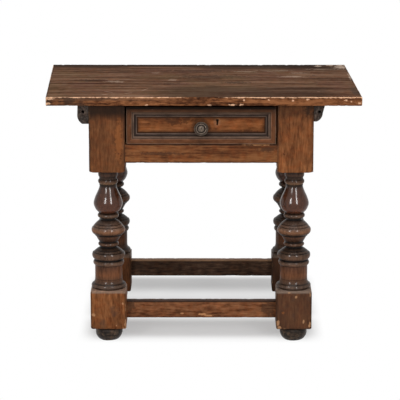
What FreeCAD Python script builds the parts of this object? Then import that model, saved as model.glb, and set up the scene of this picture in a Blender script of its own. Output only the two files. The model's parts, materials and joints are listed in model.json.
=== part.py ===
import FreeCAD, Part
import math
import os
from FreeCAD import Rotation, Vector

# A small tavern table: four turned legs on bun feet, a box of stretchers, one locking drawer under the top.
# Millimetres. The origin is on the floor under the middle of the top, +X to the right, +Z up.
# The drawer faces -Y.

# Top: two boards butted edge to edge, with ends cut a little out of square
top_length = 900.0
top_depth = 580.0
top_thickness = 26.0
front_board_depth = 318.0
top_end_skew = 16.0         # how far the back edge lies to the left of the front edge
top_edge_round = 2.5

# Legs: square blanks, turned between an upper and a lower block
leg_width = 104.0
leg_spacing_x = 540.0       # between leg centres, side to side
leg_spacing_y = 426.0       # between leg centres, front to back
upper_block_length = 199.5
lower_block_length = 116.0
turning_margin = 1.0        # how far the lathe's outline clears the corners of the blank
pommel_drop = 11.0          # the rounded shoulder where a block's corners meet the turning
pommel_inset = 15.0

# The turned stretch from the lower block upwards, as strokes of the outline. Each point is the height above
# the start of its stroke and the radius there. Two points are a line, three an arc, more a smooth curve.
turned_strokes = [
    [(0.0, 46.5), (7.0, 50.6), (14.0, 47.0)],                               # torus on the lower block
    [(0.0, 45.6), (4.0, 42.6), (14.0, 40.2)],                               # cove above the torus
    [(0.0, 40.0), (41.0, 40.0)],                                            # plain drum
    [(0.0, 41.6), (7.0, 45.2), (14.0, 41.8)],                               # bead on the drum
    [(0.0, 39.6), (4.0, 39.6)],                                             # groove
    [(0.0, 43.4), (10.5, 48.3), (19.0, 46.2)],                              # edge of the cap
    [(0.0, 44.8), (7.5, 36.6), (15.0, 25.4)],                               # dome of the cap
    [(0.0, 24.2), (4.0, 24.2)],                                             # neck
    [(0.0, 26.2), (5.5, 30.2), (11.0, 26.4)],                               # ring
    [(0.0, 26.6), (2.5, 26.6)],                                             # fillet
    [(0.0, 27.6), (9.0, 32.6), (18.5, 38.0)],                               # cup under the disc
    [(0.0, 39.6), (3.0, 39.6)],                                             # fillet
    [(0.0, 41.6), (11.0, 49.2), (20.0, 47.2)],                              # edge of the disc
    [(0.0, 46.4), (11.5, 37.6), (23.0, 23.6)],                              # slope above the disc
    [(0.0, 21.8), (5.5, 21.8)],                                             # neck
    [(0.0, 26.0), (7.0, 31.2), (14.0, 26.6)],                               # ring under the vase
    [(0.0, 26.4), (5.0, 31.2), (13.0, 37.4), (29.0, 42.4), (47.0, 38.0),    # vase
     (62.0, 31.2), (75.0, 26.0), (82.5, 24.4)],
    [(0.0, 25.2), (5.0, 25.2)],                                             # fillet
    [(0.0, 26.0), (7.0, 29.0), (13.0, 26.4)],                               # bead over the vase
    [(0.0, 25.8), (4.0, 25.6), (8.5, 26.8)],                                # cove
    [(0.0, 27.4), (7.0, 28.6), (13.0, 28.0)],                               # collar under the upper block
    [(0.0, 27.2), (6.0, 27.2)],                                             # neck that meets the block
]

# Bun feet: strokes from the floor upwards, and the spigot that goes up into the leg
foot_strokes = [
    [(0.0, 28.0), (9.0, 35.8), (27.0, 40.2)],
    [(0.0, 40.2), (6.0, 40.0), (10.0, 38.6)],
    [(0.0, 37.4), (3.0, 37.4)],
]
spigot_diameter = 24.0
spigot_length = 26.0

# Mortise and tenon joints
tenon_length = 40.0
tenon_thickness = 12.0
tenon_end_gap = 1.0
joint_clearance = 0.1
peg_diameter = 8.0
peg_setback = 20.0          # from the joint's shoulder to the peg
peg_reach = 12.0            # how far a peg goes past its tenon

# Front rail under the drawer, and the boards on the other three sides
rail_rise = 28.5            # from the bottom of the upper block to the bottom of the rail and boards
rail_height = 54.5
rail_thickness = 28.0
rail_setback = 3.0          # behind the front of the legs
rail_shoulder = 7.0
apron_thickness = 24.0
apron_setback = 8.0         # behind the outer faces of the legs
apron_low_shoulder = 8.0
apron_top_shoulder = 30.0
apron_peg_rises = (34.0, 84.0)  # above the bottom edge of the boards

# Stretchers, by their height above the bottom of the lower block
stretcher_height = 50.0
stretcher_thickness = 30.0
stretcher_shoulder = 6.0
front_stretcher_rise = 26.0
rear_stretcher_rise = 42.0
side_stretcher_rise = 34.0

# Battens under the ends of the top, against the outer faces of the legs. The outer side of each is a line and
# then an arc, by the distance out from the legs and down from the top's underside.
batten_sides = {
    "left": [[(31.0, 0.0), (32.0, 30.0)], [(32.0, 30.0), (28.0, 47.0), (18.0, 57.0)]],
    "right": [[(32.0, 0.0), (25.0, 26.0)], [(25.0, 26.0), (19.0, 42.0), (8.0, 50.0)]],
}
batten_setback = 4.0        # behind the front and back of the legs
batten_hole_diameter = 9.0
batten_hole_depth = 20.0
batten_hole_reach = 16.0    # out from the legs
batten_hole_drop = 22.0     # below the top's underside

# Drawer in its opening
drawer_side_gap = 4.5       # to the legs
drawer_top_gap = 8.0        # to the top's underside
drawer_setback = 1.0        # the mouldings' face behind the front of the legs
drawer_stop_gap = 0.5       # to the rear board, which stops it
slide_gap = 0.3             # to the runners
runner_rise = 1.5           # of the runners above the front rail
runner_width = 23.0
runner_height = 27.0
runner_stub_length = 8.0
runner_stub_shoulder = 5.0

# Drawer boards
plank_thickness = 20.0
side_thickness = 14.0
back_thickness = 14.0
bottom_thickness = 8.0
bottom_lift = 1.0           # of the bottom board above the lower edge of the sides
rabbet_width = 7.0          # ledge that holds the bottom board
side_drop = 4.0             # of the sides below the drawer's top edge
back_drop = 10.0
tail_count = 3
tail_length = 14.0
tail_root = 16.0
tail_tip = 22.0
tail_low_margin = 15.0      # from the lower edge of the side to the first tail's share of the height
tail_top_margin = 8.0

# Mouldings round the drawer's sunk field: a flat border, a quirk, a bead and a cove down to the field
moulding_thickness = 12.0
border_width = 15.5
quirk_width = 1.4
quirk_depth = 1.6
bead_width = 5.0
cove_width = 7.1
bead_rise = 1.1             # of the bead above the floor of the quirk
bead_step = 3.2             # from the border's face down to the cove's upper edge
cove_foot = 2.4             # height of the cove's thin edge above the field

# Knob, turned: strokes outwards from the field, then the face from the rim inwards as radius and height,
# with a domed boss inside the last ring
knob_x = 0.0
knob_rise = 45.4            # above the drawer's lower edge
knob_strokes = [
    [(0.0, 11.0), (2.5, 11.0)],
    [(0.0, 9.0), (4.0, 6.4), (7.0, 6.8)],
    [(0.0, 6.8), (3.6, 10.6), (5.5, 18.2)],
    [(0.0, 18.2), (3.4, 20.6), (6.2, 19.1)],
]
knob_face_arcs = [
    [(19.1, 0.0), (18.0, -1.1), (16.8, -1.4)],
    [(16.8, -1.4), (14.2, 1.0), (11.6, -1.2)],
]
knob_boss_height = 4.4
shank_diameter = 8.0
rivet_diameter = 13.0
rivet_height = 3.0
washer_width = 18.0
washer_thickness = 1.8

# Keyhole and lock
keyhole_x = 46.0
keyhole_rise = 66.0         # of the round part above the drawer's lower edge
keyhole_diameter = 8.4
keyhole_slot_width = 4.8
keyhole_slot_length = 13.6
lock_plate_margin = 7.0     # outside the guides
lock_plate_height = 62.0
lock_plate_thickness = 2.5
lock_plate_drop = 1.2       # below the drawer's top edge
lock_guide_width = 4.0
lock_guide_drop = 3.0       # of the guides below the top of the plate
lock_case_floor = 4.0       # thickness of the case's lower wall
lock_case_depth_below = 21.0    # from the keyhole's round part down to the case's lower wall
lock_cap_thickness = 2.0
bolt_engagement = 5.0       # how far the thrown bolt goes into the top
bolt_gap = 0.3
bolt_width = 30.0
bolt_height = 17.0
bolt_thickness = 6.0
bolt_head_width = 16.0
bolt_head_drop = 1.0        # of the bolt's end below the drawer's top edge when unlocked
bolt_talon_radius = 4.5     # notch in the bolt's lower edge that the key turns against
bolt_key_clearance = 3.0    # from the keyhole's round part up to the bolt
bolt_mortise_gap = 1.0
bolt_mortise_extra = 2.0    # depth left above the end of the thrown bolt
spring_thickness = 0.8
spring_width = 4.6
spring_length = 14.0
spring_bow = 5.0
rivet_shank_diameter = 3.0
rivet_shank_length = 6.0

# Nails: side of the square shank, length under the head, side of the square head, thickness of the head
top_nail = (5.0, 62.0, 9.0, 1.6)
batten_nail = (5.0, 64.0, 9.0, 1.6)
runner_nail = (4.0, 48.0, 7.0, 1.4)
drawer_nail = (2.4, 24.0, 5.0, 1.0)
lock_nail = (2.4, 13.0, 5.0, 1.4)
top_nail_reach = 15.0       # out from the legs
top_nail_margin = 90.0      # from the top's front and back edges
top_nail_seam = 60.0        # from the seam between the boards
batten_nail_spread = 22.0   # either side of a leg's centre
batten_nail_drop = 16.0     # below the top's underside
runner_nail_setback = 28.0  # from the inner face of a leg, along the runner
bottom_nail_count = 4
bottom_nail_margin = 40.0
edge_nail_spread = 130.0    # of the nails in the front and back edges of the drawer's bottom
back_nail_margin = 22.0
lock_nail_margin = 3.5
pin_side = 1.8              # headless pins in the mouldings
pin_depth = 5.0             # into the plank
pin_spread = 140.0          # of the pins in the long mouldings

same_point = 1e-6           # two points closer than this are one

# Levels and faces that follow from the sizes above
turned_length = sum(stroke[-1][0] for stroke in turned_strokes)
foot_height = sum(stroke[-1][0] for stroke in foot_strokes)
lower_block_top = foot_height + lower_block_length
upper_block_bottom = lower_block_top + turned_length
underside = upper_block_bottom + upper_block_length
table_height = underside + top_thickness
top_seam = front_board_depth - top_depth / 2
half_leg = leg_width / 2
leg_x = leg_spacing_x / 2
leg_y = leg_spacing_y / 2
inner_x = leg_x - half_leg
outer_x = leg_x + half_leg
inner_y = leg_y - half_leg
outer_y = leg_y + half_leg
rail_bottom = upper_block_bottom + rail_rise
rail_top = rail_bottom + rail_height
rail_y = -outer_y + rail_setback + rail_thickness / 2
rail_back = rail_y + rail_thickness / 2
apron_x = outer_x - apron_setback - apron_thickness / 2
rear_apron_y = outer_y - apron_setback - apron_thickness / 2
rear_apron_face = rear_apron_y - apron_thickness / 2
runner_top = rail_top + runner_rise
drawer_half = inner_x - drawer_side_gap
drawer_low = runner_top + slide_gap
drawer_top = underside - drawer_top_gap
drawer_height = drawer_top - drawer_low
drawer_middle = (drawer_low + drawer_top) / 2
moulding_face = -outer_y + drawer_setback
plank_front = moulding_face + moulding_thickness
plank_back = plank_front + plank_thickness
drawer_end = rear_apron_face - drawer_stop_gap
side_inner = drawer_half - side_thickness
side_top = drawer_top - side_drop
bottom_low = drawer_low + bottom_lift
bottom_top = bottom_low + bottom_thickness
moulding_width = border_width + quirk_width + bead_width + cove_width
knob_z = drawer_low + knob_rise
keyhole_z = drawer_low + keyhole_rise
lock_top = drawer_top - lock_plate_drop
lock_face = plank_back + lock_plate_thickness
bolt_low = keyhole_z + keyhole_diameter / 2 + bolt_key_clearance
bolt_top = drawer_top - bolt_head_drop
case_depth = bolt_thickness + 2 * bolt_gap
cap_face = lock_face + case_depth
case_left = keyhole_x - bolt_width / 2 - bolt_gap - lock_guide_width
case_right = keyhole_x + bolt_width / 2 + bolt_gap + spring_thickness + spring_bow + lock_guide_width
lock_left = case_left - lock_plate_margin
lock_right = case_right + lock_plate_margin

pieces = {}


def block(x_span, y_span, z_span):
    size = [high - low for low, high in (x_span, y_span, z_span)]
    return Part.makeBox(*size, Vector(x_span[0], y_span[0], z_span[0]))


def bar(axis, along, across, z_span):
    return block(along, across, z_span) if axis == "x" else block(across, along, z_span)


def about(middle, width):
    return (middle - width / 2, middle + width / 2)


def mirrored(span, side):
    # a span given for the right-hand side, or the same span on the left
    return span if side > 0 else (-span[1], -span[0])


def rod(start, direction, diameter, length):
    return Part.makeCylinder(diameter / 2, length, start, direction)


def polygon_prism(points, direction):
    return Part.Face(Part.makePolygon(points + points[:1])).extrude(direction)


def stroke_edge(points):
    if len(points) == 2:
        return Part.LineSegment(*points).toShape()
    if len(points) == 3:
        return Part.Arc(*points).toShape()
    curve = Part.BSplineCurve()
    curve.interpolate(points)
    return curve.toShape()


def outline_face(strokes):
    # joins the strokes end to end, with straight lines where they don't meet, and closes the outline
    edges = []
    for stroke, following in zip(strokes, strokes[1:] + strokes[:1]):
        edges.append(stroke_edge(stroke))
        if not stroke[-1].isEqual(following[0], same_point):
            edges.append(Part.LineSegment(stroke[-1], following[0]).toShape())
    return Part.Face(Part.Wire(edges))


def raised(strokes, level):
    # strokes of height and radius, stacked from a level upwards, as points beside the Z axis
    stacked = []
    for stroke in strokes:
        stacked.append([Vector(radius, 0, level + height) for height, radius in stroke])
        level += stroke[-1][0]
    return stacked


def lathe(strokes):
    return outline_face(strokes).revolve(Vector(0, 0, 0), Vector(0, 0, 1), 360)


def quarter_round(start, end, corner):
    # a rounded corner from start to end, bulging towards the corner
    middle = (start + end) * 0.5
    return [start, middle + (corner - middle) * (math.sqrt(2) - 1), end]


def dome(radius, base, height):
    # a round cap on the axis, from its rim to its tip
    side = math.copysign(1, height)
    ball = (radius ** 2 + height ** 2) / (2 * abs(height))
    half_angle = math.asin(radius / ball) / 2
    middle_level = base + height - side * ball * (1 - math.cos(half_angle))
    return [Vector(radius, 0, base), Vector(ball * math.sin(half_angle), 0, middle_level),
            Vector(0, 0, base + height)]


def aimed(shape, point, direction):
    shape.Placement = FreeCAD.Placement(point, Rotation(Vector(0, 0, 1), direction))
    return shape


def nail(sizes, point, direction, grow=0.0):
    # the point is the middle of the head's outer face; a grown nail is the hole for it
    shank, length, head, head_thickness = sizes
    spike = block(about(0, shank + 2 * grow), about(0, shank + 2 * grow), (0, head_thickness + length + grow))
    cap = block(about(0, head + 2 * grow), about(0, head + 2 * grow), (-grow, head_thickness + grow))
    return aimed(spike.fuse(cap).removeSplitter(), point, direction)


def nails(sizes, places):
    return [nail(sizes, point, direction) for point, direction in places]


def nail_holes(sizes, places):
    return Part.makeCompound([nail(sizes, point, direction, joint_clearance) for point, direction in places])


def tenon_rail(axis, across, thickness, z_span, shoulders):
    # a board between two legs, with a tenon at each end
    reach = inner_x if axis == "x" else inner_y
    tongue_span = (z_span[0] + shoulders[0], z_span[1] - shoulders[1])
    board = bar(axis, (-reach, reach), about(across, thickness), z_span)
    tongue = bar(axis, about(0, 2 * (reach + tenon_length)), about(across, tenon_thickness), tongue_span)
    return board.fuse(tongue).removeSplitter()


def tenon_mortises(axis, across, z_span, shoulders):
    reach = (inner_x if axis == "x" else inner_y) + tenon_length + tenon_end_gap
    tongue_span = (z_span[0] + shoulders[0] - joint_clearance, z_span[1] - shoulders[1] + joint_clearance)
    return bar(axis, about(0, 2 * reach), about(across, tenon_thickness + 2 * joint_clearance), tongue_span)


def peg_places(axis, across, levels):
    # each peg enters at a leg's outer face and goes a little past the tenon
    outer = outer_y if axis == "x" else outer_x
    shoulder = inner_x if axis == "x" else inner_y
    side = 1 if across > 0 else -1
    length = outer - abs(across) + tenon_thickness / 2 + peg_reach
    for end in (-1, 1):
        along = end * (shoulder + peg_setback)
        for level in levels:
            if axis == "x":
                yield Vector(along, side * outer, level), Vector(0, -side, 0), length
            else:
                yield Vector(side * outer, along, level), Vector(-side, 0, 0), length


def make_rails():
    # name, axis, place across, thickness, height span, shoulders, peg levels
    apron_span = (rail_bottom, underside)
    apron_shoulders = (apron_low_shoulder, apron_top_shoulder)
    apron_pegs = [rail_bottom + rise for rise in apron_peg_rises]
    rail_span = (rail_bottom, rail_top)
    rows = [("front_rail", "x", rail_y, rail_thickness, rail_span, (rail_shoulder, rail_shoulder),
             [rail_bottom + rail_height / 2])]
    aprons = [
        ("rear_apron", "x", rear_apron_y),
        ("left_apron", "y", -apron_x),
        ("right_apron", "y", apron_x),
    ]
    for name, axis, across in aprons:
        rows.append((name, axis, across, apron_thickness, apron_span, apron_shoulders, apron_pegs))
    stretchers = [
        ("front_stretcher", "x", -leg_y, front_stretcher_rise),
        ("rear_stretcher", "x", leg_y, rear_stretcher_rise),
        ("left_stretcher", "y", -leg_x, side_stretcher_rise),
        ("right_stretcher", "y", leg_x, side_stretcher_rise),
    ]
    for name, axis, across, rise in stretchers:
        low = foot_height + rise
        span = (low, low + stretcher_height)
        rows.append((name, axis, across, stretcher_thickness, span, (stretcher_shoulder, stretcher_shoulder),
                     [low + stretcher_height / 2]))
    mortises = []
    pegs = {"apron_pegs": [], "stretcher_pegs": []}
    holes = []
    for name, axis, across, thickness, span, shoulders, levels in rows:
        board = tenon_rail(axis, across, thickness, span, shoulders)
        mortises.append(tenon_mortises(axis, across, span, shoulders))
        group = "stretcher_pegs" if "stretcher" in name else "apron_pegs"
        own_holes = []
        for start, direction, length in peg_places(axis, across, levels):
            hole_diameter = peg_diameter + 2 * joint_clearance
            pegs[group].append(rod(start, direction, peg_diameter, length))
            own_holes.append(rod(start, direction, hole_diameter, length + tenon_end_gap))
        pieces[name] = board.cut(Part.makeCompound(own_holes))
        holes += own_holes
    for group, rods in pegs.items():
        pieces[group] = Part.makeCompound(rods)
    return mortises + holes


def batten_nail_places():
    # on the straight stretch of a batten's outer side
    places = []
    level = underside - batten_nail_drop
    for side, name in ((-1, "left"), (1, "right")):
        (top_reach, top_drop), (low_reach, low_drop) = batten_sides[name][0]
        share = (batten_nail_drop - top_drop) / (low_drop - top_drop)
        x = side * (outer_x + top_reach + (low_reach - top_reach) * share)
        for end in (-1, 1):
            for shift in (-batten_nail_spread, batten_nail_spread):
                places.append((Vector(x, end * leg_y + shift, level), Vector(-side, 0, 0)))
    return places


def top_nail_places():
    # two rows of nails through each board
    x = outer_x + top_nail_reach
    rows = (top_nail_margin - top_depth / 2, top_seam - top_nail_seam,
            top_seam + top_nail_seam, top_depth / 2 - top_nail_margin)
    return [(Vector(side * x, y, table_height), Vector(0, 0, -1)) for side in (-1, 1) for y in rows]


def runner_nail_places():
    level = runner_top - runner_height / 2
    y = inner_y + runner_nail_setback
    return [(Vector(side * (inner_x - runner_width), end * y, level), Vector(side, 0, 0))
            for side in (-1, 1) for end in (-1, 1)]


def make_legs(joint_holes):
    blank_radius = leg_width * math.sqrt(0.5) + turning_margin
    shoulder_radius = blank_radius - pommel_inset
    lower_shoulder = quarter_round(Vector(blank_radius, 0, lower_block_top - pommel_drop),
                                   Vector(shoulder_radius, 0, lower_block_top),
                                   Vector(blank_radius, 0, lower_block_top))
    upper_shoulder = quarter_round(Vector(shoulder_radius, 0, upper_block_bottom),
                                   Vector(blank_radius, 0, upper_block_bottom + pommel_drop),
                                   Vector(blank_radius, 0, upper_block_bottom))
    axis_line = [Vector(0, 0, underside), Vector(0, 0, foot_height)]
    outline = [[Vector(blank_radius, 0, foot_height), lower_shoulder[0]], lower_shoulder]
    outline += raised(turned_strokes, lower_block_top)
    outline += [upper_shoulder, [upper_shoulder[-1], Vector(blank_radius, 0, underside)], axis_line]
    square = block(about(0, leg_width), about(0, leg_width), (foot_height, underside))
    spigot_hole = rod(Vector(0, 0, foot_height), Vector(0, 0, 1), spigot_diameter + 2 * joint_clearance,
                      spigot_length + tenon_end_gap)
    blank = square.common(lathe(outline)).cut(spigot_hole)
    spigot = [[Vector(spigot_diameter / 2, 0, foot_height),
               Vector(spigot_diameter / 2, 0, foot_height + spigot_length)],
              [Vector(0, 0, foot_height + spigot_length), Vector(0, 0, 0)]]
    bun = lathe(raised(foot_strokes, 0) + spigot)
    holes = Part.makeCompound(joint_holes + [nail_holes(batten_nail, batten_nail_places()),
                                             nail_holes(runner_nail, runner_nail_places())])
    for end, end_name in ((-1, "front"), (1, "rear")):
        for side, side_name in ((-1, "left"), (1, "right")):
            centre = Vector(side * leg_x, end * leg_y, 0)
            pieces[end_name + "_" + side_name + "_leg"] = blank.translated(centre).cut(holes)
            pieces[end_name + "_" + side_name + "_foot"] = bun.translated(centre)


def make_battens():
    holes = Part.makeCompound([nail_holes(batten_nail, batten_nail_places()),
                               nail_holes(top_nail, top_nail_places())])
    front = -outer_y + batten_setback
    for side, name in ((-1, "left"), (1, "right")):
        def at(reach, drop):
            return Vector(side * (outer_x + reach), front, underside - drop)

        section = [[at(reach, drop) for reach, drop in stroke] for stroke in batten_sides[name]]
        height = batten_sides[name][-1][-1][1]
        section.append([at(0, height), at(0, 0)])
        batten = outline_face(section).extrude(Vector(0, -2 * front, 0))
        eye = rod(at(batten_hole_reach, batten_hole_drop), Vector(0, 1, 0), batten_hole_diameter,
                  batten_hole_depth)
        pieces[name + "_batten"] = batten.cut(eye).cut(holes)
    pieces["batten_nails"] = Part.makeCompound(nails(batten_nail, batten_nail_places()))


def make_top():
    def corner(side, y):
        return Vector(side * top_length / 2 - top_end_skew * y / top_depth, y, underside)

    def on_outline(edge):
        # edges of the two faces, apart from those along the seam between the boards
        level = abs(edge.Vertexes[0].Z - edge.Vertexes[1].Z) < same_point
        return level and not all(abs(vertex.Y - top_seam) < same_point for vertex in edge.Vertexes)

    bolt_slot = block(about(keyhole_x, bolt_head_width + 2 * bolt_mortise_gap),
                      (lock_face + bolt_gap - bolt_mortise_gap, cap_face - bolt_gap + bolt_mortise_gap),
                      (underside, underside + bolt_engagement + bolt_mortise_extra))
    holes = nail_holes(top_nail, top_nail_places())
    boards = [("top_front_board", -top_depth / 2, top_seam), ("top_rear_board", top_seam, top_depth / 2)]
    for name, front, back in boards:
        corners = [corner(-1, front), corner(1, front), corner(1, back), corner(-1, back)]
        board = polygon_prism(corners, Vector(0, 0, top_thickness))
        board = board.makeFillet(top_edge_round, [edge for edge in board.Edges if on_outline(edge)])
        pieces[name] = board.cut(holes).cut(bolt_slot)
    pieces["top_nails"] = Part.makeCompound(nails(top_nail, top_nail_places()))


def make_runners():
    stub_rows = (rail_back - runner_stub_length, rear_apron_face + runner_stub_length)
    stub_levels = (runner_top - runner_height + runner_stub_shoulder, runner_top - runner_stub_shoulder)
    holes = nail_holes(runner_nail, runner_nail_places())
    for side, name in ((-1, "left"), (1, "right")):
        span = mirrored((inner_x - runner_width, inner_x), side)
        stub_span = (span[0] + runner_stub_shoulder, span[1] - runner_stub_shoulder)
        runner = block(span, (rail_back, rear_apron_face), (runner_top - runner_height, runner_top))
        stub = block(stub_span, stub_rows, stub_levels)
        pieces[name + "_drawer_runner"] = runner.fuse(stub).removeSplitter().cut(holes)
        housing = block((stub_span[0] - joint_clearance, stub_span[1] + joint_clearance),
                        (stub_rows[0] - joint_clearance, stub_rows[1] + joint_clearance),
                        (stub_levels[0] - joint_clearance, stub_levels[1] + joint_clearance))
        for rail in ("front_rail", "rear_apron"):
            pieces[rail] = pieces[rail].cut(housing)
    pieces["runner_nails"] = Part.makeCompound(nails(runner_nail, runner_nail_places()))


def tail_prism(side, level, grow):
    # one dovetail on a drawer side, flaring towards the front; a grown one is its socket
    tip = plank_back - tail_length - grow
    start = side * (side_inner - grow)
    points = [Vector(start, plank_back, level - tail_root / 2 - grow),
              Vector(start, tip, level - tail_tip / 2 - grow),
              Vector(start, tip, level + tail_tip / 2 + grow),
              Vector(start, plank_back, level + tail_root / 2 + grow)]
    return polygon_prism(points, Vector(side * (side_thickness + 2 * grow), 0, 0))


def tail_levels():
    first = drawer_low + tail_low_margin
    pitch = (side_top - tail_top_margin - first) / tail_count
    return [first + pitch * (number + 0.5) for number in range(tail_count)]


def keyhole():
    start = Vector(keyhole_x, plank_front, keyhole_z)
    depth = plank_thickness + lock_plate_thickness
    eye = rod(start, Vector(0, 1, 0), keyhole_diameter, depth)
    slot = block(about(keyhole_x, keyhole_slot_width), (plank_front, plank_front + depth),
                 (keyhole_z - keyhole_slot_length, keyhole_z))
    return eye.fuse(slot)


def drawer_nail_places():
    places = []
    side_x = side_inner + rabbet_width / 2
    first = plank_back + bottom_nail_margin
    pitch = (drawer_end - bottom_nail_margin - first) / (bottom_nail_count - 1)
    back_y = drawer_end - back_thickness / 2
    for side in (-1, 1):
        for number in range(bottom_nail_count):
            places.append((Vector(side * side_x, first + pitch * number, bottom_low), Vector(0, 0, 1)))
        for level in (bottom_top + back_nail_margin, side_top - back_drop - back_nail_margin):
            places.append((Vector(side * drawer_half, back_y, level), Vector(-side, 0, 0)))
    for y in (plank_back - rabbet_width / 2, back_y):
        for x in (-edge_nail_spread, 0.0, edge_nail_spread):
            places.append((Vector(x, y, bottom_low), Vector(0, 0, 1)))
    return places


def lock_nail_places():
    y = lock_face + lock_nail[3]
    levels = (lock_top - lock_nail_margin, lock_top - lock_plate_height + lock_nail_margin)
    return [(Vector(x, y, level), Vector(0, -1, 0))
            for x in (lock_left + lock_nail_margin, lock_right - lock_nail_margin) for level in levels]


def make_drawer_box():
    holes = nail_holes(drawer_nail, drawer_nail_places())
    ledge = (drawer_low, bottom_top + joint_clearance)
    bottom_half = side_inner + rabbet_width
    plank = block((-drawer_half, drawer_half), (plank_front, plank_back), (drawer_low, drawer_top))
    plank = plank.cut(block((-bottom_half, bottom_half), (plank_back - rabbet_width, plank_back), ledge))
    for side, name in ((-1, "left"), (1, "right")):
        span = mirrored((side_inner, drawer_half), side)
        board = block(span, (plank_back, drawer_end), (drawer_low, side_top))
        board = board.cut(block(mirrored((side_inner, bottom_half), side), (plank_back, drawer_end), ledge))
        for level in tail_levels():
            board = board.fuse(tail_prism(side, level, 0))
            plank = plank.cut(tail_prism(side, level, joint_clearance))
        pieces["drawer_" + name + "_side"] = board.removeSplitter().cut(holes)
    shank_hole = rod(Vector(knob_x, plank_front, knob_z), Vector(0, 1, 0),
                     shank_diameter + 2 * joint_clearance, plank_thickness)
    pin_holes = Part.makeCompound([moulding_pin(x, level, joint_clearance) for x, level in pin_places()])
    for tool in (holes, shank_hole, keyhole(), pin_holes, nail_holes(lock_nail, lock_nail_places())):
        plank = plank.cut(tool)
    pieces["drawer_front"] = plank
    back = block((-side_inner, side_inner), (drawer_end - back_thickness, drawer_end),
                 (bottom_top, side_top - back_drop))
    pieces["drawer_back"] = back.cut(holes)
    bottom = block((-bottom_half + joint_clearance, bottom_half - joint_clearance),
                   (plank_back - rabbet_width + joint_clearance, drawer_end), (bottom_low, bottom_top))
    pieces["drawer_bottom"] = bottom.cut(holes)
    pieces["drawer_nails"] = Part.makeCompound(nails(drawer_nail, drawer_nail_places()))


def pin_places():
    places = [(side * pin_spread, level) for side in (-1, 1)
              for level in (drawer_low + border_width / 2, drawer_top - border_width / 2)]
    return places + [(side * (drawer_half - border_width / 2), drawer_middle) for side in (-1, 1)]


def moulding_pin(x, level, grow=0.0):
    side = pin_side + 2 * grow
    return block(about(x, side), (moulding_face, plank_front + pin_depth + grow), about(level, side))


def moulding(length, offset):
    # a strip along X whose outer edge is at -offset, mitred at both ends
    def at(width, height):
        return Vector(-length / 2, plank_front - height, width - offset)

    bead_start = border_width + quirk_width
    cove_start = bead_start + bead_width
    quirk_floor = moulding_thickness - quirk_depth
    bead_end = moulding_thickness - bead_step
    cove_corner = at(cove_start, cove_foot)
    section = [
        [at(0, 0), at(0, moulding_thickness)],
        [at(0, moulding_thickness), at(border_width, moulding_thickness)],
        [at(border_width, quirk_floor), at(bead_start, quirk_floor)],
        [at(bead_start, quirk_floor), at(bead_start + bead_width / 2, quirk_floor + bead_rise),
         at(cove_start, bead_end)],
        quarter_round(at(cove_start, bead_end), at(moulding_width, cove_foot), cove_corner),
        [at(moulding_width, cove_foot), at(moulding_width, 0)],
    ]
    strip = outline_face(section).extrude(Vector(length, 0, 0))
    half = length / 2
    outline = [Vector(-half, moulding_face, -offset), Vector(half, moulding_face, -offset),
               Vector(half - moulding_width, moulding_face, moulding_width - offset),
               Vector(moulding_width - half, moulding_face, moulding_width - offset)]
    return strip.common(polygon_prism(outline, Vector(0, moulding_thickness, 0)))


def make_mouldings():
    holes = Part.makeCompound([moulding_pin(x, level, joint_clearance) for x, level in pin_places()])
    sizes = [(2 * drawer_half, drawer_height / 2), (drawer_height, drawer_half)]
    for number, name in enumerate(("bottom", "left", "top", "right")):
        strip = moulding(*sizes[number % 2])
        strip.rotate(Vector(0, 0, 0), Vector(0, 1, 0), 90 * number)
        strip.translate(Vector(0, 0, drawer_middle))
        pieces[name + "_moulding"] = strip.cut(holes)
    pieces["moulding_pins"] = Part.makeCompound([moulding_pin(x, level) for x, level in pin_places()])


def make_knob():
    seat = -(plank_thickness + washer_thickness)
    shank = shank_diameter / 2
    rivet = dome(rivet_diameter / 2, seat, -rivet_height)[::-1]
    rim = sum(stroke[-1][0] for stroke in knob_strokes)
    outline = [rivet, [Vector(shank, 0, seat), Vector(shank, 0, 0)]] + raised(knob_strokes, 0)
    outline += [[Vector(radius, 0, rim + height) for radius, height in arc] for arc in knob_face_arcs]
    boss_radius, boss_base = knob_face_arcs[-1][-1]
    outline.append(dome(boss_radius, rim + boss_base, knob_boss_height))
    pieces["drawer_knob"] = aimed(lathe(outline), Vector(knob_x, plank_front, knob_z), Vector(0, -1, 0))
    washer = block(about(knob_x, washer_width), (plank_back, plank_back + washer_thickness),
                   about(knob_z, washer_width))
    pieces["knob_washer"] = washer.cut(rod(Vector(knob_x, plank_back, knob_z), Vector(0, 1, 0),
                                           shank_diameter + 2 * joint_clearance, washer_thickness))


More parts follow.
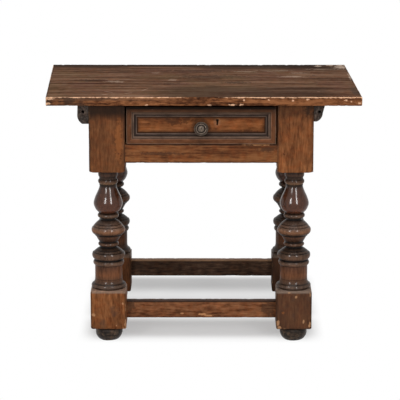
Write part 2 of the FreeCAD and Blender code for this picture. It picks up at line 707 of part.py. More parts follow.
def make_lock():
    case_low = keyhole_z - lock_case_depth_below
    case_top = lock_top - lock_guide_drop
    case_span = (lock_face, cap_face)
    plate = block((lock_left, lock_right), (plank_back, lock_face), (lock_top - lock_plate_height, lock_top))
    plate = plate.cut(keyhole()).cut(nail_holes(lock_nail, lock_nail_places()))
    guides = [(case_left, case_left + lock_guide_width), (case_right - lock_guide_width, case_right)]
    for span in guides:
        plate = plate.fuse(block(span, case_span, (case_low, case_top)))
    plate = plate.fuse(block((case_left, case_right), case_span, (case_low, case_low + lock_case_floor)))
    cap = block((case_left, case_right), (cap_face, cap_face + lock_cap_thickness), (case_low, case_top))
    rivets = []
    rivet_holes = []
    for span in guides:
        for level in (case_low + lock_case_floor, case_top - lock_case_floor):
            start = Vector(sum(span) / 2, cap_face + lock_cap_thickness, level)
            rivets.append(rod(start, Vector(0, -1, 0), rivet_shank_diameter, rivet_shank_length))
            rivet_holes.append(rod(start, Vector(0, -1, 0), rivet_shank_diameter + 2 * joint_clearance,
                                   rivet_shank_length + joint_clearance))
    holes = Part.makeCompound(rivet_holes)
    pieces["lock_plate"] = plate.removeSplitter().cut(holes)
    pieces["lock_cap"] = cap.cut(holes)
    pieces["lock_rivets"] = Part.makeCompound(rivets)
    pieces["lock_nails"] = Part.makeCompound(nails(lock_nail, lock_nail_places()))

    bolt_span = (lock_face + bolt_gap, lock_face + bolt_gap + bolt_thickness)
    bolt = block(about(keyhole_x, bolt_width), bolt_span, (bolt_low, bolt_low + bolt_height))
    bolt = bolt.fuse(block(about(keyhole_x, bolt_head_width), bolt_span, (bolt_low, bolt_top)))
    talon = rod(Vector(keyhole_x, bolt_span[0], bolt_low), Vector(0, 1, 0), 2 * bolt_talon_radius,
                bolt_thickness)
    pieces["lock_bolt"] = bolt.removeSplitter().cut(talon)

    wall = case_right - lock_guide_width
    spring_y = (lock_face + cap_face - spring_width) / 2
    middle = bolt_low + bolt_height / 2
    bow = [Vector(wall, spring_y, middle - spring_length / 2), Vector(wall - spring_bow, spring_y, middle),
           Vector(wall, spring_y, middle + spring_length / 2)]
    inner_bow = [point - Vector(spring_thickness, 0, 0) for point in reversed(bow)]
    pieces["lock_spring"] = outline_face([bow, inner_bow]).extrude(Vector(0, spring_width, 0))


joint_holes = make_rails()
make_legs(joint_holes)
make_battens()
make_top()
make_runners()
make_drawer_box()
make_mouldings()
make_knob()
make_lock()

os.makedirs("parts", exist_ok=True)
for name, shape in pieces.items():
    shape.exportStep("parts/" + name + ".step")
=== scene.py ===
import bmesh
import bpy
import json
import math
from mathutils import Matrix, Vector


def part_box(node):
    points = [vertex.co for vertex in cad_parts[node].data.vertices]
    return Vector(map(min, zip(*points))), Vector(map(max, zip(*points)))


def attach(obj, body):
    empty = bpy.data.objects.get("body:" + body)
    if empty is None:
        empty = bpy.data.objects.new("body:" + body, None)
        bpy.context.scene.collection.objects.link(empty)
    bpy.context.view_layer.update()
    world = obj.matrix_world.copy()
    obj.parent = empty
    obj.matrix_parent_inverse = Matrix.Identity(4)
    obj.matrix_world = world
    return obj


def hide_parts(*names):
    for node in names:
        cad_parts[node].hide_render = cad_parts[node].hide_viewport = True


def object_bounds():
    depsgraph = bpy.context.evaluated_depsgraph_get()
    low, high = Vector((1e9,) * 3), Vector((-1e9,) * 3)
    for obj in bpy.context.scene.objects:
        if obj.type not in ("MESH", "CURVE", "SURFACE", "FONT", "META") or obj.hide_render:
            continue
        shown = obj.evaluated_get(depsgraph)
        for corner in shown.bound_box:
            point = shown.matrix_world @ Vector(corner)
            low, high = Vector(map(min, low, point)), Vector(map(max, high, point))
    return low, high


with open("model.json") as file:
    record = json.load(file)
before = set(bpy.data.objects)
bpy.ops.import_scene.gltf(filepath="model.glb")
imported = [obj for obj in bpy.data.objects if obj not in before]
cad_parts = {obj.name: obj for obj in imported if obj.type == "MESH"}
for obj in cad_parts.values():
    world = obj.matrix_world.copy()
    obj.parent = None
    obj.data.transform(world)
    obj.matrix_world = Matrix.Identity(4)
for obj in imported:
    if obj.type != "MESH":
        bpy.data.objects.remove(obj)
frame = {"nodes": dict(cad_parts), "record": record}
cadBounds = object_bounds()
record = frame["record"]
bodyOf = {node: body for body, nodes in record["behaviour"]["bodies"].items() for node in nodes}
slotOf = {row["node"]: row["material_slot"] for row in record["subparts"]}
print("frame loaded:", len(bodyOf), "nodes")


# modelling, as by hand: take a piece up, select by place, use the operators
# lengths in metres, angles in degrees: folds above sharp are edges, and within a hair is the same place
sharp = 40
hair = 0.0001
brokenEdge = 0.0005
arcSteps = 8
curveSteps = 5


def deselect():
    if bpy.context.mode != "OBJECT":
        putDown()
    bpy.ops.object.select_all(action="DESELECT")


def takeUp(piece):
    deselect()
    piece.select_set(True)
    bpy.context.view_layer.objects.active = piece


def pick(piece, kind, test=lambda item: True):
    # edit mode, with only what passes the test selected
    takeUp(piece)
    bpy.ops.object.mode_set(mode="EDIT")
    bpy.ops.mesh.select_mode(type=kind)
    bpy.ops.mesh.select_all(action="DESELECT")
    mesh = bmesh.from_edit_mesh(piece.data)
    for item in {"VERT": mesh.verts, "EDGE": mesh.edges, "FACE": mesh.faces}[kind]:
        if test(item):
            item.select_set(True)
    mesh.select_flush_mode()
    bmesh.update_edit_mesh(piece.data)


def putDown():
    bpy.ops.object.mode_set(mode="OBJECT")


def addObject(name, data):
    made = bpy.data.objects.new(name, data)
    bpy.context.scene.collection.objects.link(made)
    return made


def duplicate(piece, name):
    takeUp(piece)
    bpy.ops.object.duplicate(linked=False)
    copy = bpy.context.object
    copy.name = name
    return copy


def setFinish(piece, finish):
    piece.data.materials.clear()
    piece.data.materials.append(finish)


def keepGroup(piece, name):
    # what is selected in edit mode becomes a named group of points
    bpy.ops.object.vertex_group_assign_new()
    putDown()
    piece.vertex_groups[-1].name = name


def sliceAlong(piece, axis, count):
    # cuts the edges that run along an axis into so many lengths
    def runsAlong(edge):
        span = edge.verts[1].co - edge.verts[0].co
        return abs(span[axis]) > 0.98 * span.length

    # many cuts go in two turns, since the operator takes only so many at once
    for share in ((count,) if count < 60 else (count // 10, 10)):
        if share > 1:
            pick(piece, "EDGE", runsAlong)
            bpy.ops.mesh.subdivide(number_cuts=share - 1)
            putDown()


def plank(name, low, high, counts=(1, 1, 1)):
    deselect()
    low, high = Vector(low), Vector(high)
    bpy.ops.mesh.primitive_cube_add(size=1, location=(low + high) / 2, scale=high - low)
    piece = bpy.context.object
    piece.name = name
    bpy.ops.object.transform_apply(location=True, rotation=False, scale=True)
    for axis, count in enumerate(counts):
        sliceAlong(piece, axis, count)
    return piece


def roundArrises(piece, radius, segments=3, keep=lambda edge: True):
    # rounds the sharp edges and keeps their points as the group "arris"
    def isArris(edge):
        return edge.calc_face_angle(0) > math.radians(sharp) and keep(edge)

    pick(piece, "EDGE", isArris)
    bpy.ops.mesh.bevel(offset=radius, segments=segments, affect="EDGES")
    keepGroup(piece, "arris")


def applyModifier(piece, kind, **settings):
    modifier = piece.modifiers.new("work", kind)
    for key, value in settings.items():
        setattr(modifier, key, value)
    takeUp(piece)
    bpy.ops.object.modifier_apply(modifier=modifier.name)


def batter(piece, depth, size, contrast=1.0, level=1.0, group=""):
    # goes in by up to the depth, in patches of about the size; a lower level leaves fewer of them
    texture = bpy.data.textures.new(piece.name + "Dents", "CLOUDS")
    texture.noise_scale = size
    texture.noise_depth = 2
    texture.contrast = contrast
    texture.intensity = level
    texture.use_clamp = True
    applyModifier(piece, "DISPLACE", texture=texture, texture_coords="LOCAL", strength=-depth, mid_level=0.0,
                  vertex_group=group)


def knock(piece, marks, depth):
    # hollows at listed marks, each a middle and its reach, deepest in the middle
    group = piece.vertex_groups.new(name="knocks")
    for vert in piece.data.vertices:
        for middle, reach in marks:
            away = math.hypot(*((c - m) / r for c, m, r in zip(vert.co, middle, reach)))
            if away < 1:
                group.add([vert.index], 1 - away * away, "REPLACE")
    applyModifier(piece, "DISPLACE", strength=-depth, mid_level=0.0, vertex_group="knocks")


def smoothShade(piece, angle=35):
    takeUp(piece)
    bpy.ops.object.shade_smooth_by_angle(angle=math.radians(angle))


def circleThrough(a, b, c, count):
    # points on the arc through three points of a plane
    (ax, ay), (bx, by), (cx, cy) = a, b, c
    double = 2 * (ax * (by - cy) + bx * (cy - ay) + cx * (ay - by))
    aa, bb, cc = (across ** 2 + up ** 2 for across, up in (a, b, c))
    x = (aa * (by - cy) + bb * (cy - ay) + cc * (ay - by)) / double
    y = (aa * (cx - bx) + bb * (ax - cx) + cc * (bx - ax)) / double
    angles = [math.atan2(up - y, across - x) for across, up in (a, b, c)]
    for i in (1, 2):
        while angles[i] - angles[i - 1] > math.pi:
            angles[i] -= 2 * math.pi
        while angles[i] - angles[i - 1] < -math.pi:
            angles[i] += 2 * math.pi
    radius = math.hypot(ax - x, ay - y)
    spread = [angles[0] + (angles[2] - angles[0]) * i / count for i in range(count + 1)]
    return [(x + radius * math.cos(angle), y + radius * math.sin(angle)) for angle in spread]


def curveThrough(points, count):
    # a smooth line through the points, with so many steps between two
    line = []
    ends = [points[0], *points, points[-1]]
    for before, start, end, after in zip(ends, ends[1:], ends[2:], ends[3:]):
        for i in range(count):
            t = i / count
            line.append(tuple(
                0.5 * (2 * p1 + (p2 - p0) * t + (2 * p0 - 5 * p1 + 4 * p2 - p3) * t * t
                       + (3 * p1 - p0 - 3 * p2 + p3) * t ** 3)
                for p0, p1, p2, p3 in zip(before, start, end, after)))
    return line + [points[-1]]


def turnedOutline(strokes, start):
    # strokes of height and radius in millimetres, stacked from a height in metres: two points are a line,
    # three an arc, more a smooth curve
    outline = []
    for stroke in strokes:
        if len(stroke) == 3:
            points = circleThrough(*stroke, arcSteps)
        elif len(stroke) > 3:
            points = curveThrough(stroke, curveSteps)
        else:
            points = stroke
        outline += [(radius / 1000, start + height / 1000) for height, radius in points]
        start += stroke[-1][0] / 1000
    return outline


def radiusAt(outline, level):
    for (radius, low), (nextRadius, high) in zip(outline, outline[1:]):
        if low <= level < high:
            return radius + (nextRadius - radius) * (level - low) / (high - low)


def incise(outline, heights, half, depth):
    # cuts fine lines into a turned outline, at heights along it
    for height in heights:
        foot, head = height - half, height + half
        line = [(radiusAt(outline, foot), foot), (radiusAt(outline, height) - depth, height),
                (radiusAt(outline, head), head)]
        below = [point for point in outline if point[1] < foot]
        above = [point for point in outline if point[1] > head]
        outline = below + line + above
    return outline


def turnOnLathe(name, outline, steps):
    # an outline of radius and height, closed at the axis, spun round the Z axis
    closed = [(0.0, outline[0][1]), *outline, (0.0, outline[-1][1])]
    points = [(radius, 0.0, height) for radius, height in closed]
    mesh = bpy.data.meshes.new(name)
    mesh.from_pydata(points, [(i, i + 1) for i in range(len(points) - 1)], [])
    piece = addObject(name, mesh)
    pick(piece, "VERT")
    bpy.ops.mesh.spin(steps=steps, angle=2 * math.pi, center=(0, 0, 0), axis=(0, 0, 1))
    bpy.ops.mesh.select_all(action="SELECT")
    bpy.ops.mesh.remove_doubles(threshold=0.00002)
    bpy.ops.mesh.normals_make_consistent(inside=False)
    putDown()
    return piece


def copyOf(piece, name, place=(0, 0, 0), turn=(0, 0, 0)):
    # a copy with its own mesh, turned and set in place
    copy = duplicate(piece, name)
    copy.rotation_euler = turn
    copy.location = place
    bpy.ops.object.transform_apply(location=True, rotation=True, scale=False)
    return copy


def discard(piece):
    bpy.data.objects.remove(piece)


def combine(piece, other, operation):
    # cuts the piece by another, or joins the two into one shell, and clears the other away
    applyModifier(piece, "BOOLEAN", operation=operation, object=other, solver="EXACT")
    discard(other)


def cadCopy(node, name):
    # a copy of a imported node, merged, with its edges broken
    copy = duplicate(frame["nodes"][node], name)
    copy.parent = None
    for key in list(copy.keys()):
        del copy[key]
    pick(copy, "VERT")
    bpy.ops.mesh.remove_doubles(threshold=0.00001)
    bpy.ops.mesh.dissolve_limited(angle_limit=math.radians(1))
    putDown()
    applyModifier(copy, "BEVEL", width=brokenEdge, segments=2, limit_method="ANGLE",
                  angle_limit=math.radians(sharp))
    smoothShade(copy)
    return copy


def install(piece, node, finish):
    # the piece stands for its node, on that node's body
    setFinish(piece, finish)
    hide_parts(node)
    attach(piece, bodyOf[node])


# finishes: shader maths as plain expressions

def mathMethod(operation):
    def method(self, other):
        return self.calc(operation, self, other)

    return method


class Wire:
    # a socket of a finish; arithmetic on it adds Math nodes
    def __init__(self, finish, socket):
        self.finish = finish
        self.socket = socket

    def calc(self, operation, *values):
        return self.finish.node("ShaderNodeMath", {"operation": operation}, dict(enumerate(values)))

    __add__ = __radd__ = mathMethod("ADD")
    __mul__ = __rmul__ = mathMethod("MULTIPLY")
    __sub__ = mathMethod("SUBTRACT")
    __pow__ = mathMethod("POWER")
    least = mathMethod("MINIMUM")
    most = mathMethod("MAXIMUM")

    def __rsub__(self, other):
        return self.calc("SUBTRACT", other, self)

    def __abs__(self):
        return self.calc("ABSOLUTE", self)


def tone(red, green, blue):
    # a colour as seen on screen, 0 to 255, as the shader wants it
    def linear(value):
        share = value / 255
        return share / 12.92 if share <= 0.04045 else ((share + 0.055) / 1.055) ** 2.4

    return (linear(red), linear(green), linear(blue), 1.0)


# streaks of wood: how many to a metre along the board and across it, and how much they show
plainStreaks = ((6, 40, 0.8), (36, 170, 1.1), (14, 420, 0.5))
blockStreaks = ((8, 24, 0.8), (34, 190, 1), (14, 420, 0.5))
railStreaks = ((4, 62, 1.7), (34, 180, 1), (14, 420, 0.5))
footStreaks = ((30, 90, 1.2), (60, 240, 1), (14, 420, 0.5))
fieldStreaks = ((6, 40, 0.6), (36, 170, 0.75), (14, 420, 0.4))
topStreaks = ((1.8, 30, 1.1), (5, 82, 1.25), (9, 420, 0.6))
# what all finishes share; a size is how many patches there are to a metre
timber = {
    "bendAlong": 1.5, "bendAcross": 6.0, "wander": 0.03, "toneStops": (0.2, 0.5, 0.8), "roughShare": 0.3,
    "mottleSize": 48.0, "mottleShare": 0.5, "redder": (1.2, 0.9, 0.72), "redSize": 60.0, "redShare": 0.5,
    "blotchSize": 8.0, "blotchShare": 0.4, "rimSize": 130.0, "rubRimSize": 95.0, "rubSize": 17.0,
    "markDepth": 0.02,
}


class Finish:
    # a material in the making: its colour, roughness and relief so far, and the named colours of its piece
    def __init__(self, name, seed=0.0, colors=None, world=None):
        self.material = world or bpy.data.materials.new(name)
        self.material.use_nodes = True
        self.tree = self.material.node_tree
        self.tree.nodes.clear()
        self.seed = seed
        self.colors = colors
        self.place = self.node("ShaderNodeTexCoord", {}, {}, "Object")
        self.x, self.y, self.z = (self.node("ShaderNodeSeparateXYZ", {}, {0: self.place}, letter)
                                  for letter in "XYZ")

    def node(self, kind, settings, inputs, output=0):
        made = self.tree.nodes.new(kind)
        for key, value in settings.items():
            if key == "stops":
                first, last = made.color_ramp.elements
                first.position, first.color = value[0]
                last.position, last.color = value[-1]
                for position, color in value[1:-1]:
                    made.color_ramp.elements.new(position).color = color
            else:
                setattr(made, key, value)
        for key, value in inputs.items():
            if isinstance(value, Wire):
                self.tree.links.new(value.socket, made.inputs[key])
            else:
                made.inputs[key].default_value = value
        return Wire(self, made.outputs[output]) if made.outputs else None

    def clouds(self, scale, shift=0, detail=3, vector=None):
        # patches about 1/scale metres across, about 0.5; the scale can differ by axis
        sizes = scale if isinstance(scale, tuple) else (scale, scale, scale)
        start = self.seed * 3.7 + shift
        moved = self.node("ShaderNodeMapping", {}, {"Vector": vector or self.place, "Scale": sizes,
                                                    "Location": (start, start * 1.3, start * 0.7)})
        return self.node("ShaderNodeTexNoise", {}, {"Vector": moved, "Scale": 1.0, "Detail": detail,
                                                    "Roughness": 0.6})

    def between(self, value, low, high):
        # 0 below low, 1 above high, smooth between; the other way round if low is the larger
        return self.node("ShaderNodeMapRange", {"interpolation_type": "SMOOTHSTEP"},
                         {0: value, 1: low, 2: high, 3: 0.0, 4: 1.0})

    def ramp(self, value, rows):
        stops = [(place, tone(*color)) for place, color in rows]
        return self.node("ShaderNodeValToRGB", {"stops": stops}, {0: value})

    def rampAlong(self, value, low, high, rows):
        # colours at places along a value that runs from low to high
        span = high - low
        return self.ramp((value - low) * (1 / span),
                         [((place - low) / span, color) for place, color in self.colors[rows]])

    def mix(self, factor, first, second):
        return self.node("ShaderNodeMix", {"data_type": "RGBA"}, {0: factor, 6: first, 7: second}, 2)

    def scaled(self, color, factor):
        return self.node("ShaderNodeVectorMath", {"operation": "SCALE"}, {0: color, "Scale": factor})

    def wood(self, along, tones, rough, streaks=plainStreaks):
        # wavering streaks and mottling from dark to light, redder patches and darker blotches
        bend = self.clouds(tuple(timber["bendAlong" if axis == along else "bendAcross"] for axis in "xyz"))
        wander = self.node("ShaderNodeVectorMath", {"operation": "MULTIPLY_ADD"},
                           {0: self.node("ShaderNodeCombineXYZ", {}, {0: bend, 1: bend, 2: bend}),
                            1: [0.0 if axis == along else timber["wander"] for axis in "xyz"], 2: self.place})
        layers = [self.clouds(tuple(length if axis == along else width for axis in "xyz"), width, 3, wander)
                  for length, width, weight in streaks]
        self.figure = 0.5 + (self.clouds(timber["mottleSize"], 5) - 0.5) * timber["mottleShare"]
        for layer, (length, width, weight) in zip(layers, streaks):
            self.figure = self.figure + (layer - 0.5) * weight
        self.color = self.toned(tones)
        redder = self.node("ShaderNodeVectorMath", {"operation": "MULTIPLY"},
                           {0: self.color, 1: timber["redder"]})
        self.cover(redder, timber["redShare"], (self.clouds(timber["redSize"], 13), 0.42, 0.66))
        self.rough = rough + (layers[1] - 0.5) * timber["roughShare"]
        self.relief = layers[1] * 0.4 + layers[2] * 0.6
        blotches = self.clouds(timber["blotchSize"], 9, 4)
        self.cover(self.colors[tones][0], timber["blotchShare"], (blotches, 0.54, 0.76))

    def toned(self, tones):
        # three tones by the wood's figure
        return self.ramp(self.figure, zip(timber["toneStops"], self.colors[tones]))

    def named(self, color):
        return tone(*(self.colors[color] if isinstance(color, str) else color))

    def cover(self, color, share, *masks, rough=None):
        # lays a share of a colour where all masks are; a mask can be a value and what it fades between
        mask, *more = [mask if isinstance(mask, Wire) else self.between(*mask) for mask in masks]
        for other in more:
            mask = mask * other
        mask = mask * share
        self.color = self.mix(mask, self.color, color if isinstance(color, Wire) else self.named(color))
        if rough is not None:
            self.rough = self.rough + (rough - self.rough) * mask

    def spots(self, marks, ragged):
        # 1 at listed marks, each a middle, its reach along the axes and maybe its turn, with ragged rims
        rim = (self.clouds(timber["rimSize"], 11, 4) - 0.5) * (2 * ragged)
        mask = None
        for middle, reach, *turn in marks:
            near = self.node("ShaderNodeMapping", {"vector_type": "TEXTURE"}, {
                "Vector": self.place, "Location": middle, "Scale": reach,
                "Rotation": (0.0, 0.0, math.radians(sum(turn)))})
            away = self.node("ShaderNodeVectorMath", {"operation": "LENGTH"}, {0: near}, "Value")
            mark = self.between(away + rim, 1.0, 0.45)
            mask = mask.most(mark) if mask else mark
        return mask

    def arris(self, a, b, c):
        # distance to the nearest edge of a box, from the distances to its three nearest sides
        return a.least(b).most(a.most(b).least(c))

    def boxArris(self, low, high):
        return self.arris(*((axis - near).least(far - axis)
                            for axis, near, far in zip((self.x, self.y, self.z), low, high)))

    def rub(self, color, distance, width, share, where=1.0):
        # rubbed through to another tone within a width of an edge, in patches that take a share of it
        ragged = (self.clouds(timber["rubRimSize"], 3, 4) - 0.5) * (2.5 * width)
        level = 0.5 + (0.5 - share) * 0.4
        patches = self.between(self.clouds(timber["rubSize"], 7, 4), level - 0.05, level + 0.05)
        self.cover(color, where, (distance + ragged, width, width * 0.3), patches, rough=0.6)

    def done(self, depth, **constants):
        bump = self.node("ShaderNodeBump", {}, {"Height": self.relief, "Distance": depth, "Strength": 1.0})
        inputs = {key.replace("_", " "): value for key, value in constants.items()}
        shader = self.node("ShaderNodeBsdfPrincipled", {}, {"Base Color": self.color, "Roughness": self.rough,
                                                            "Normal": bump, **inputs})
        self.node("ShaderNodeOutputMaterial", {}, {"Surface": shader})
        return self.material


def onFront(rows, y):
    # marks on a front at y: x and height of the middle, half width and half height
    return [((x, y, z), (width, timber["markDepth"], height)) for x, z, width, height in rows]


# camera, as the photograph was taken
viewpoint = {
    "place": (0.0105, -6.5917, 1.8414), "yaw": -0.0022, "pitch": 0.2199, "sensor": 36.0,
    # the focal length and the frame in pixels
    "focal": 2253.5, "frame": 400,
}
deselect()
cameraData = bpy.data.cameras.new("camera")
camera = addObject("camera", cameraData)
cameraData.sensor_width = viewpoint["sensor"]
cameraData.lens = viewpoint["focal"] / viewpoint["frame"] * viewpoint["sensor"]
camera.location = viewpoint["place"]
camera.rotation_euler = (math.pi / 2 - viewpoint["pitch"], 0.0, -viewpoint["yaw"])
scene = bpy.context.scene
scene.camera = camera
scene.view_settings.view_transform = "Standard"
print("camera set")


# the top: two boards with worn, chipped edges
topBoards = {
    "round": 0.0025, "slices": (250, 24, 5), "halfLength": 0.45, "seamWidth": 0.0005,
    # dents here and below: depth, size of the patches, contrast and level
    "wobble": (0.0007, 0.09), "chips": (0.0013, 0.011, 5.0, 0.1),
    "tones": ((66, 46, 35), (106, 76, 57), (132, 102, 80)),
    "edgeTones": ((52, 31, 20), (102, 62, 38), (142, 92, 58)),
    "wear": (226, 178, 142), "dark": (46, 33, 26), "stain": (52, 38, 30), "scratch": (206, 178, 154),
    "cut": (190, 160, 136), "fleck": (160, 130, 108), "olive": (104, 84, 56), "plum": (98, 64, 56),
    "greyTone": (72, 62, 54), "bareTone": (212, 188, 168), "leftGrey": (58, 44, 36),
    "rightWarm": (124, 76, 46), "edgeDust": (84, 66, 54), "endGrime": (52, 42, 36),
    # marks on the surface: x and y of the middle, half length and half width
    "scratches": [(-0.255, -0.024, 0.036, 0.018), (-0.136, 0.136, 0.016, 0.02), (-0.084, 0.002, 0.016, 0.018),
                  (0.132, 0.158, 0.04, 0.018), (0.217, 0.175, 0.06, 0.02), (0.27, 0.064, 0.05, 0.016),
                  (0.36, 0.21, 0.06, 0.02), (0.2, 0.255, 0.05, 0.02), (0.3, 0.13, 0.035, 0.014)],
    "stains": [(0.03, 0.06, 0.15, 0.034), (0.03, -0.11, 0.036, 0.022), (-0.33, 0.0, 0.06, 0.02),
               (-0.02, 0.17, 0.12, 0.03), (0.1, -0.04, 0.06, 0.022), (-0.09, -0.06, 0.05, 0.018),
               (0.25, 0.238, 0.1, 0.034), (0.365, 0.228, 0.07, 0.028)],
    # slanting scratches: x and y of the middle, half length, half width and turn in degrees
    "cuts": [(-0.163, -0.163, 0.024, 0.002, 61), (-0.2685, -0.2, 0.027, 0.0024, -44),
             (-0.209, -0.2225, 0.018, 0.0024, 32), (-0.245, -0.032, 0.022, 0.0034, -20),
             (-0.276, -0.2475, 0.012, 0.003, -18)],
    # bare patches at the right end, and a grey one in front of them
    "bare": [(0.43, 0.245, 0.03, 0.045), (0.358, 0.262, 0.014, 0.016), (0.394, 0.276, 0.016, 0.012),
             (0.446, 0.09, 0.007, 0.1)],
    "grey": [(0.447, -0.19, 0.022, 0.09)],
    # room for the lock's bolt, in the underside
    "mortise": ((0.0367, -0.2305, 0.7045), (0.0553, -0.2219, 0.7133)),
    # pale nicks on the front edge: x, height and half width
    "nicks": [(0.122, 0.723, 0.003), (0.191, 0.724, 0.005), (0.261, 0.722, 0.004), (0.303, 0.725, 0.006),
              (0.41, 0.723, 0.006), (0.426, 0.719, 0.003), (0.449, 0.714, 0.006), (-0.156, 0.708, 0.006),
              (0.023, 0.708, 0.006), (0.088, 0.709, 0.012), (0.112, 0.709, 0.006), (-0.436, 0.713, 0.011),
              (-0.43, 0.727, 0.016)],
    "nickReach": (0.008, 0.0034),
}


def topFinish(low, high):
    finish = Finish("worn walnut top", 1.3, topBoards)
    x, y, z = finish.x, finish.y, finish.z
    cover, between, clouds = finish.cover, finish.between, finish.clouds

    def marks(name, ragged):
        return finish.spots([((across, back, high.z), (length, width, timber["markDepth"]), *turn)
                             for across, back, length, width, *turn in topBoards[name]], ragged)

    finish.wood("x", "tones", 0.58, topStreaks)
    cover("stain", 0.6, marks("stains", 1.6))
    fineLines = between(clouds((9, 230, 230), 27), 0.5, 0.58)
    cover("scratch", 0.12 + fineLines * 0.7, marks("scratches", 1.2))
    cover("cut", 0.7, marks("cuts", 0.5))
    cover("fleck", 0.4, (clouds((8, 110, 110), 21, 4), 0.6, 0.7))
    cover("olive", 0.3, (clouds(6, 31), 0.5, 0.66))
    cover("plum", 0.3, (clouds(7, 37), 0.5, 0.66))
    cover("greyTone", 0.6, marks("grey", 1.0))
    # darker along the back, in from it on the right, and in front from the middle on
    ragged = (clouds((5, 70, 70), 41) - 0.5) * 0.13
    fromBack = high.y - y + ragged
    leftOf = between(x, 0.42, 0.33)
    cover("dark", 0.9, (fromBack, 0.085, 0.02), leftOf)
    cover("dark", 0.5, (fromBack, 0.125, 0.08), (x, -0.02, 0.06))
    cover("dark", 0.55, (y + ragged, -0.09, -0.15), (x + ragged, -0.2, -0.05), leftOf)
    cover("bareTone", 0.45 + fineLines * 0.5, marks("bare", 1.5))
    surface = finish.color
    # the front edge: its own browns, greyer at the left end
    finish.figure = finish.figure + (clouds((60, 200, 200), 4) - 0.5) * 1.3
    finish.color = finish.toned("edgeTones")
    cover("leftGrey", 0.8, (x, -0.26, -0.36), (clouds(22, 2), 0.4, 0.62))
    cover("rightWarm", 0.3, (x, 0.1, 0.35))
    cover("edgeDust", 0.4, (z, low.z + 0.012, low.z + 0.018), (x, 0.0, -0.25))
    front = between(y, low.y + 0.0045, low.y + 0.0015)
    finish.color = finish.mix(front, surface, finish.color)
    # rubbed edges, and nicks in the front one
    halfLength = topBoards["halfLength"]
    ends = halfLength - abs(x + y * ((high.x - halfLength) / high.y))
    cover("endGrime", 0.65, (ends, 0.007, 0.002), 1 - front)
    fromFront = y - low.y
    fromTop = high.z - z
    finish.rub("wear", finish.arris(ends, fromFront.least(high.y - y), fromTop), 0.003, 0.5)
    outerParts = (between(x, -0.1, -0.18) * 0.7).most(between(x, 0.04, 0.14))
    finish.rub("wear", fromFront.most(fromTop), 0.0036, 1.1, outerParts)
    nicks = [((across, low.y, up), (width, *topBoards["nickReach"]))
             for across, up, width in topBoards["nicks"]]
    cover("wear", 0.8, finish.spots(nicks, 1.4))
    return finish.done(0.0004, Specular_IOR_Level=0.0, Coat_Weight=finish.figure * 0.08, Coat_Roughness=0.35)


def buildTop():
    low, high = cadBounds
    halfLength = topBoards["halfLength"]
    # the ends lean: the front edge lies to the right by this, the back edge to the left
    skew = high.x - halfLength
    finish = topFinish(Vector((low.x, low.y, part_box("top_front_board")[0].z)), high)
    for node in ("top_front_board", "top_rear_board"):
        boardLow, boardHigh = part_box(node)
        isFront = node == "top_front_board"
        seam = boardHigh.y if isFront else boardLow.y
        board = plank(node + "_worn", (-halfLength, boardLow.y, boardLow.z),
                      (halfLength, boardHigh.y, boardHigh.z))
        for y in (boardLow.y, boardHigh.y):
            pick(board, "VERT", lambda vert: abs(vert.co.y - y) < hair)
            bpy.ops.transform.translate(value=(-skew * y / high.y, 0, 0))
            putDown()
        for axis, count in enumerate(topBoards["slices"]):
            sliceAlong(board, axis, count)

        def offSeam(item):
            points = item.verts if hasattr(item, "verts") else [item]
            return max(abs(point.co.y - seam) for point in points) > topBoards["seamWidth"]

        roundArrises(board, topBoards["round"], 3, offSeam)
        pick(board, "VERT", offSeam)
        keepGroup(board, "free")
        batter(board, *topBoards["wobble"], group="free")
        batter(board, *topBoards["chips"], group="arris")
        if isFront:
            combine(board, plank("mortise", *topBoards["mortise"]), "DIFFERENCE")
        smoothShade(board, sharp)
        install(board, node, finish)


buildTop()
print("top built")


